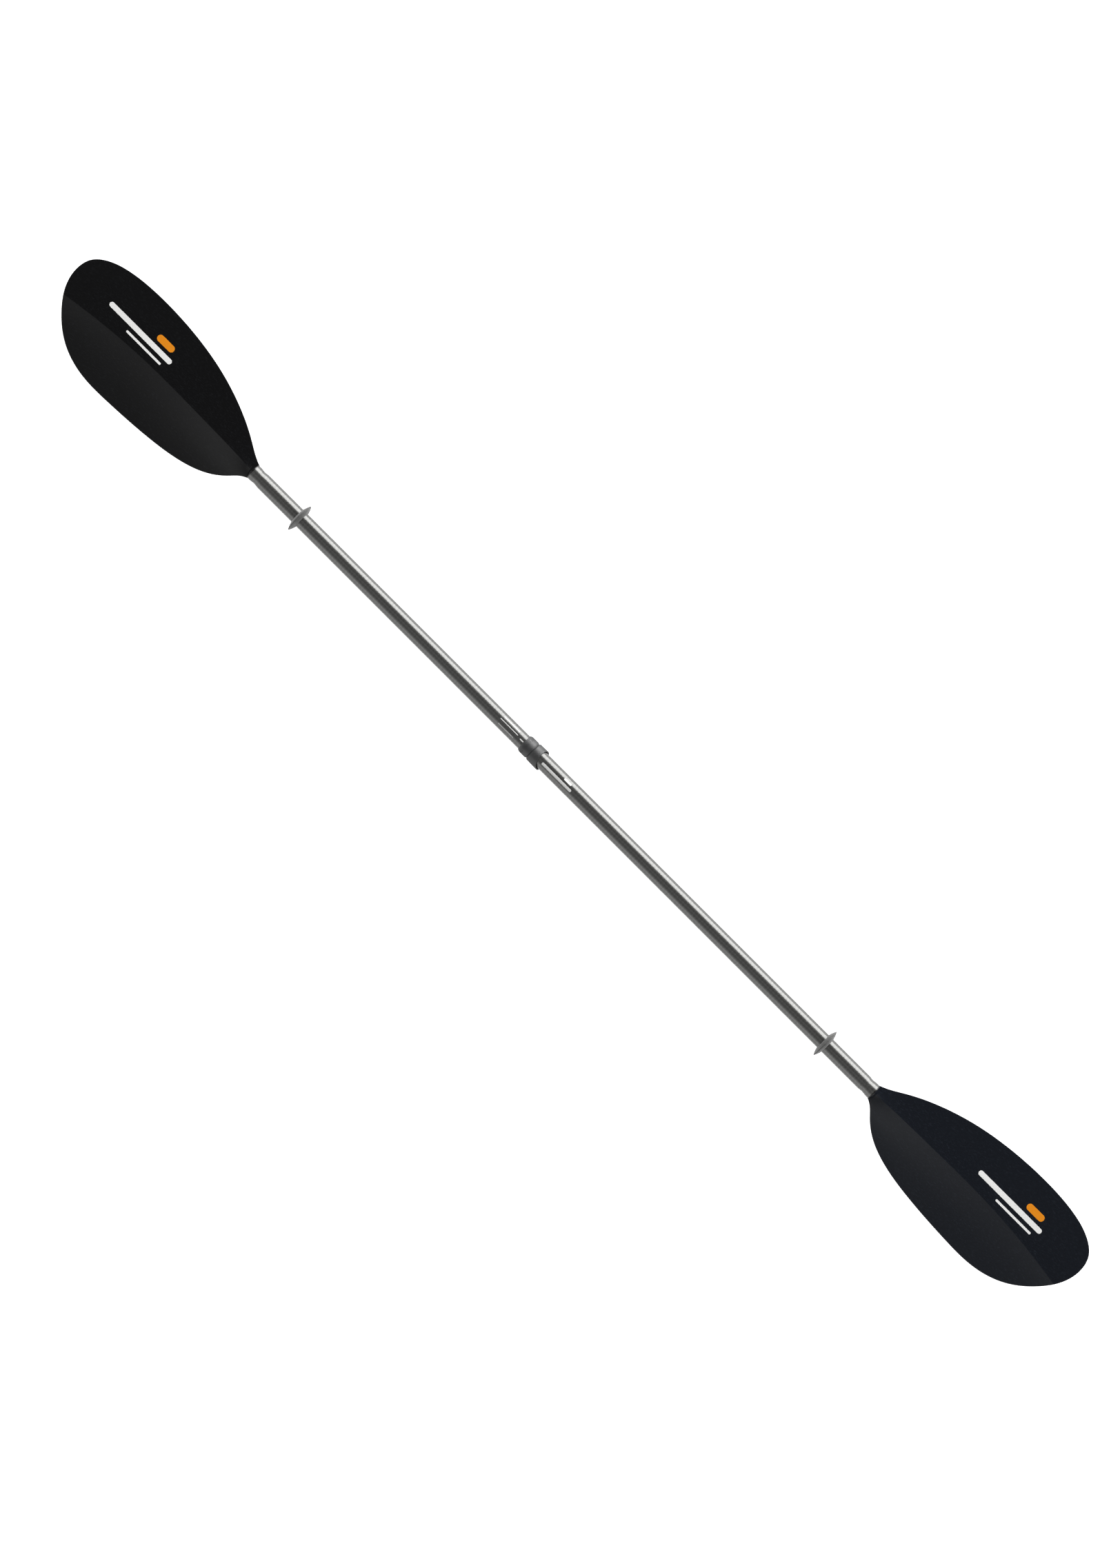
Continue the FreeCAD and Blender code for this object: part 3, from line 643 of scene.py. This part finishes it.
panel_light = bpy.data.lights.new("long_panel", "AREA")
panel_light.shape = "RECTANGLE"
panel_light.size, panel_light.size_y = panel_size
panel_light.energy = panel_radiance * math.pi * panel_size[0] * panel_size[1]
panel = bpy.data.objects.new("long_panel", panel_light)
panel.location = (0, panel_y, cad_box[0].z + panel_size[1] / 2)
panel.rotation_euler = (math.radians(-90), 0, 0)
panel.visible_camera = False
soft_panel = panel.copy()
soft_panel.name = "long_panel_without_image"
soft_panel.visible_glossy = False
for lamp in (panel, soft_panel):
    bpy.context.scene.collection.objects.link(lamp)
light_only(soft_panel, "blade_pieces", blade_pieces)
light_only(panel, "other_pieces", [
    piece for piece in bpy.context.scene.objects
    if piece.type == "MESH" and piece not in blade_pieces])

room = bpy.data.worlds.new("studio")
bpy.context.scene.world = room
room.use_nodes = True
tree = room.node_tree
tree.nodes.clear()
heading = add_node(tree, "ShaderNodeTexCoord", {}, {})
axes = add_node(tree, "ShaderNodeSeparateXYZ", {}, {0: heading.outputs["Generated"]})
tilt = add_node(tree, "ShaderNodeMath", {"operation": "ARCTAN2"}, {
    0: axes.outputs["Y"], 1: axes.outputs["Z"]})
whole_turn = add_node(tree, "ShaderNodeMapRange", {}, {
    "Value": tilt.outputs[0], "From Min": -math.pi, "From Max": math.pi, "To Min": 0.0, "To Max": 1.0})
fade = add_node(tree, "ShaderNodeValToRGB", {}, {"Fac": whole_turn.outputs[0]})
ramp = fade.color_ramp.elements
ramp[0].position = room_stops[0][0] / 360 + 0.5
ramp[1].position = room_stops[-1][0] / 360 + 0.5
for degrees, share in room_stops[1:-1]:
    ramp.new(degrees / 360 + 0.5)
for element, (degrees, share) in zip(ramp, room_stops):
    element.color = (share, share, share, 1.0)
room_light = add_node(tree, "ShaderNodeBackground", {}, {
    "Color": fade.outputs["Color"], "Strength": room_strength})
add_node(tree, "ShaderNodeOutputWorld", {}, {"Surface": room_light.outputs[0]})


# ---- camera ----
# It looks down from 8 m, leaning 2 degrees from the right, so the right blade is a little nearer.
# The paddle runs from upper left to lower right. The long side of the picture covers 2.547 m.

camera_distance = 8.0
camera_lean = math.radians(1.97)
camera_turn = math.radians(45)
picture_length = 2.547
aim = Vector((0.0005, -0.0065, 0.0))
lens_data = bpy.data.cameras.new("camera")
lens_data.lens = lens_data.sensor_width * camera_distance / picture_length
lens_data.clip_end = 1000
camera = bpy.data.objects.new("camera", lens_data)
camera.location = aim + camera_distance * Vector((math.sin(camera_lean), 0, math.cos(camera_lean)))
lean = Matrix.Rotation(camera_lean, 3, "Y")
camera.rotation_euler = (lean @ Matrix.Rotation(camera_turn, 3, "Z")).to_euler()
bpy.context.scene.collection.objects.link(camera)
bpy.context.scene.camera = camera

bpy.context.scene.view_settings.view_transform = "Standard"
